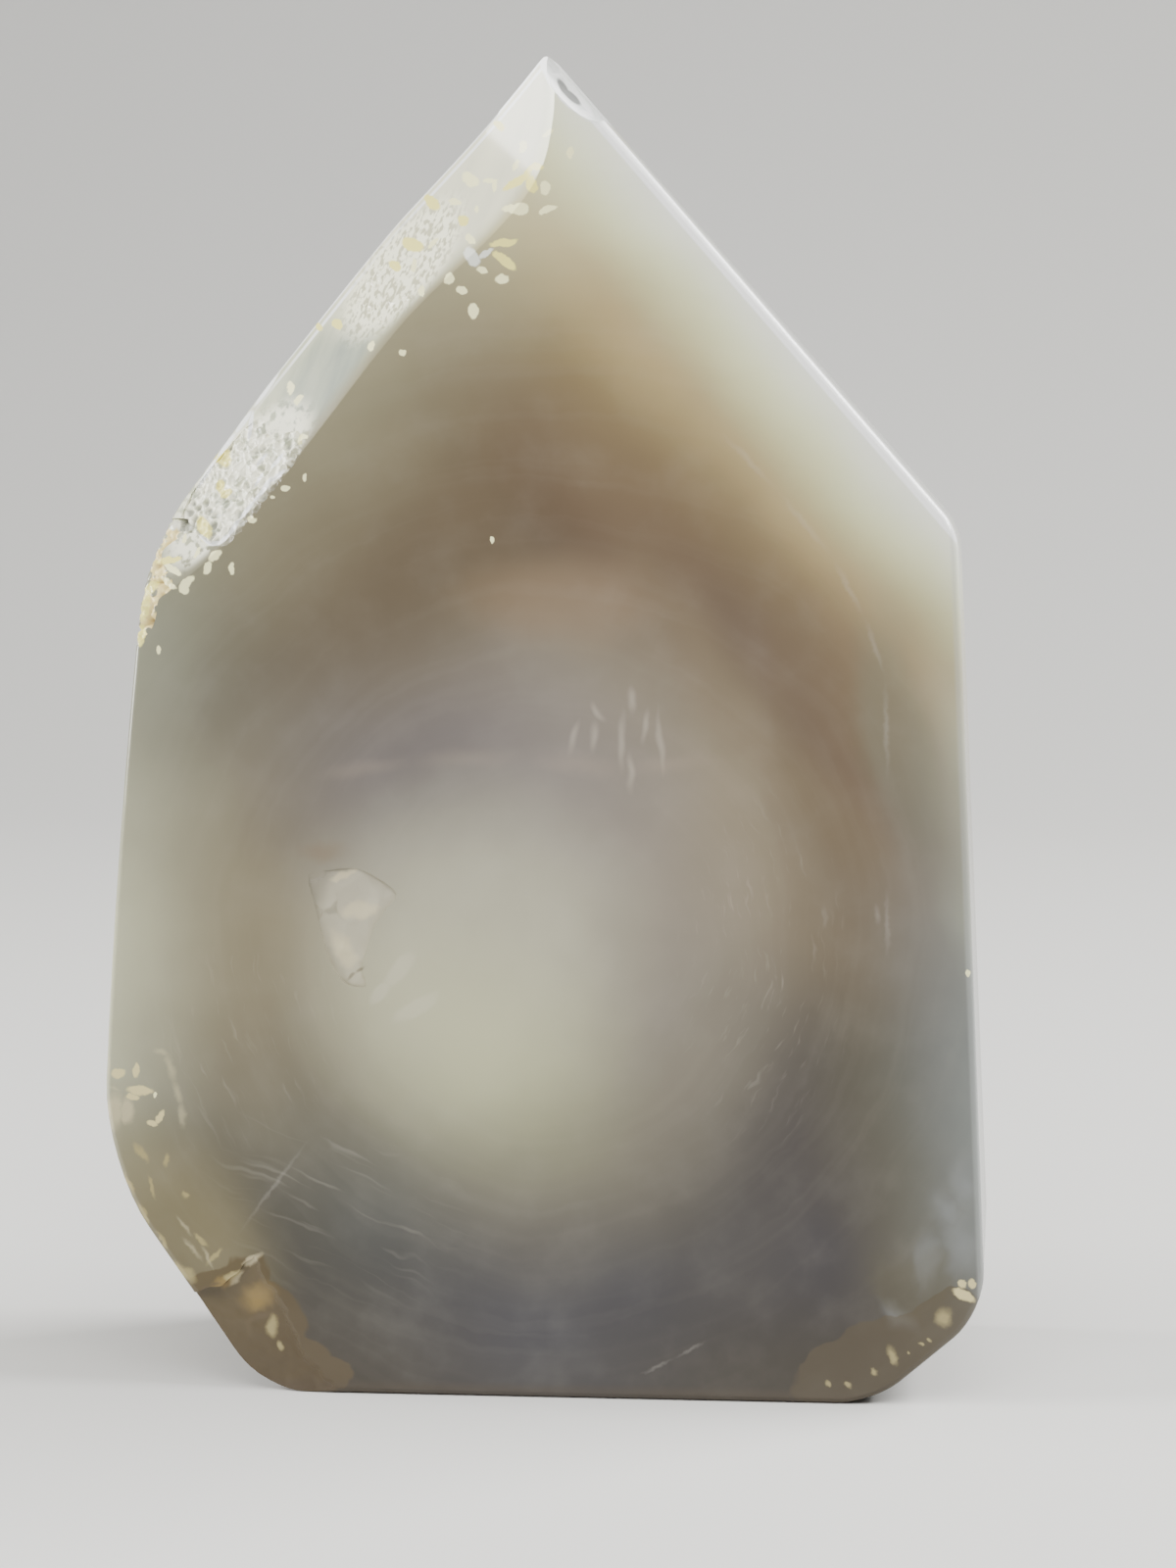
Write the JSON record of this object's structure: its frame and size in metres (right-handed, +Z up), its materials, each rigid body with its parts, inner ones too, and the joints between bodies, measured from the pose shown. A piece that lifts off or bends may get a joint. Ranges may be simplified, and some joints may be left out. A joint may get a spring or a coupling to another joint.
{
  "type": "agate slice",
  "caption": "Thick house-shaped slice of polished agate with a pointed top, a wide bevel on the upper left edge and a flat sawn base to stand on.",
  "frame": {"origin": "on the surface it stands on, under the middle of the stone's bounding box", "axes": "+Z up from the sawn base to the tip, -Y out of the polished show face, +X to the show face's right"},
  "size_m": [0.0731, 0.0279, 0.1094],
  "materials": {
    "polished_agate": "polished"
  },
  "bodies": {
    "root": {"agate_slice": "polished_agate"}
  },
  "joints": []
}
